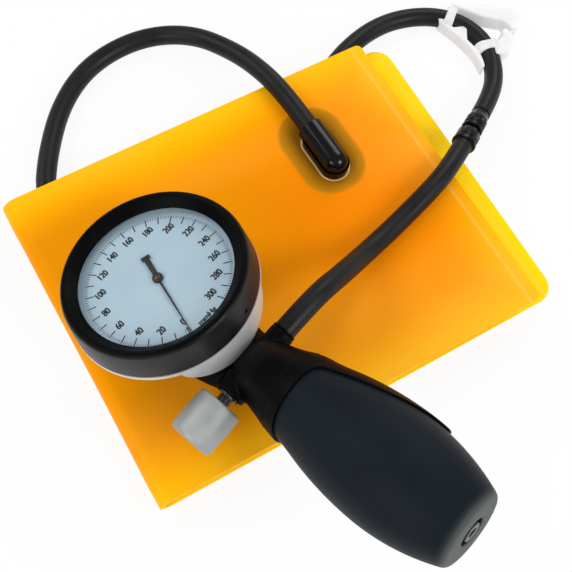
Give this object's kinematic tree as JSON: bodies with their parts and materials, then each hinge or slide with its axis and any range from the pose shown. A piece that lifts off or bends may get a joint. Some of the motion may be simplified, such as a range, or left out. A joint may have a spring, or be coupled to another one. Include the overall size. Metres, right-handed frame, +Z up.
{
  "type": "sphygmomanometer",
  "caption": "Palm-held aneroid sphygmomanometer: round gauge on a handle with bulb and release valve, hoses with connector and pinch clamp, on its folded arm cuff.",
  "frame": {"origin": "underside of the lower flap, at the centre of the upper flap's footprint", "axes": "+X from the cuff's fold to its free edges, +Y along the fold, +Z up"},
  "size_m": [0.2533, 0.2631, 0.0826],
  "materials": {
    "bezel_black": "satin",
    "steel": "satin",
    "lens_clear": "clear acrylic",
    "gasket_black": "matt",
    "case_silver": "satin",
    "movement_brass": "satin",
    "dial_white": "matt",
    "capsule_bronze": "satin",
    "pointer_black": "matt",
    "handle_black": "fine satin",
    "chrome_plate": "polished",
    "knob_grey": "bead-blasted, matt",
    "valve_brass": "satin",
    "valve_rubber": "matt",
    "bulb_rubber": "matt",
    "inlet_black": "satin",
    "hose_rubber": "satin",
    "connector_black": "gloss",
    "clamp_white": "translucent",
    "cuff_orange": "glossy film",
    "cuff_yellow": "glossy film",
    "flange_orange": "glossy film",
    "port_black": "high gloss"
  },
  "bodies": {
    "instrument": {"bezel_ring": "bezel_black", "bezel_screws": "steel", "lens": "lens_clear", "lens_gasket": "gasket_black", "gauge_case": "case_silver", "pressure_nipple": "movement_brass", "dial_plate": "dial_white", "diaphragm_capsule": "capsule_bronze", "movement_bottom_plate": "movement_brass", "movement_top_plate": "movement_brass", "movement_pillars": "movement_brass", "hairspring": "capsule_bronze", "handle_body": "handle_black", "hose_spout": "handle_black", "valve_bush": "chrome_plate", "outlet_valve_body": "valve_brass", "bulb": "bulb_rubber", "inlet_valve_body": "inlet_black", "gauge_hose": "hose_rubber", "cuff_hose": "hose_rubber", "connector_male": "connector_black", "connector_female": "connector_black", "pinch_clamp": "clamp_white", "cuff_front_panel": "cuff_orange", "cuff_fold_upper": "cuff_orange", "port_flange": "flange_orange", "cuff_port": "port_black"},
    "lower_flap": {"cuff_back_panel": "cuff_yellow", "cuff_fold_lower": "cuff_yellow"},
    "sector": {"sector_gear": "movement_brass"},
    "pointer_arbor": {"pinion_arbor": "steel", "pointer": "pointer_black"},
    "rocker": {"rocking_shaft": "steel"},
    "capsule_rider": {"capsule_pin": "steel"},
    "needle": {"valve_needle": "chrome_plate"},
    "knob": {"valve_knob": "knob_grey"},
    "outlet_disc": {"outlet_valve_disc": "valve_rubber"},
    "inlet_ball": {"inlet_valve_ball": "steel"},
    "lever": {"clamp_lever": "clamp_white"}
  },
  "joints": [
    {"name": "cuff_fold", "type": "hinge", "parent": "instrument", "child": "lower_flap", "pos_m": [-0.0863, 0, 0.0065], "axis": [-0.0262, 0.9997, 0], "range_deg": [0, 180]},
    {"name": "sector_swing", "type": "hinge", "parent": "instrument", "child": "sector", "pos_m": [-0.03628, 0.01129, 0.03502], "axis": [-0.1087, 0.2678, 0.9573], "range_deg": [0, 32.3]},
    {"name": "pointer_turn", "type": "hinge", "parent": "instrument", "child": "pointer_arbor", "pos_m": [-0.04778, -0.00244, 0.04528], "axis": [-0.1087, 0.2678, 0.9573], "range_deg": [-324, 0]},
    {"name": "rocker_turn", "type": "hinge", "parent": "instrument", "child": "rocker", "pos_m": [-0.04521, 0.00451, 0.0288], "axis": [-0.9265, -0.3762, 0], "range_deg": [0, 14.4]},
    {"name": "capsule_lift", "type": "slide", "parent": "instrument", "child": "capsule_rider", "axis": [-0.1087, 0.2678, 0.9573], "range_m": [0, 0.00222]},
    {"name": "valve_lift", "type": "slide", "parent": "instrument", "child": "needle", "axis": [-0.9317, -0.3443, -0.1153], "range_m": [0, 0.00106]},
    {"name": "valve_turn", "type": "hinge", "parent": "needle", "child": "knob", "pos_m": [-0.05576, -0.05456, 0.03492], "axis": [-0.9317, -0.3443, -0.1153], "range_deg": [0, 540]},
    {"name": "outlet_lift", "type": "slide", "parent": "instrument", "child": "outlet_disc", "axis": [-0.2923, 0.8996, -0.3246], "range_m": [0, 0.0013]},
    {"name": "inlet_lift", "type": "slide", "parent": "instrument", "child": "inlet_ball", "axis": [-0.2923, 0.8996, -0.3246], "range_m": [0, 0.0016]},
    {"name": "clamp_open", "type": "hinge", "parent": "instrument", "child": "lever", "pos_m": [0.13827, 0.0719, 0.0045], "axis": [0, 0, 1], "range_deg": [0, 25]}
  ],
  "couplings": [
    {"joint": "pointer_turn", "follows": "sector_swing", "ratio": -10},
    {"joint": "rocker_turn", "follows": "sector_swing", "ratio": 0.44347},
    {"joint": "capsule_lift", "follows": "sector_swing", "m_per_rad": 0.0039025},
    {"joint": "valve_lift", "follows": "valve_turn", "m_per_rad": 0.00011141}
  ]
}
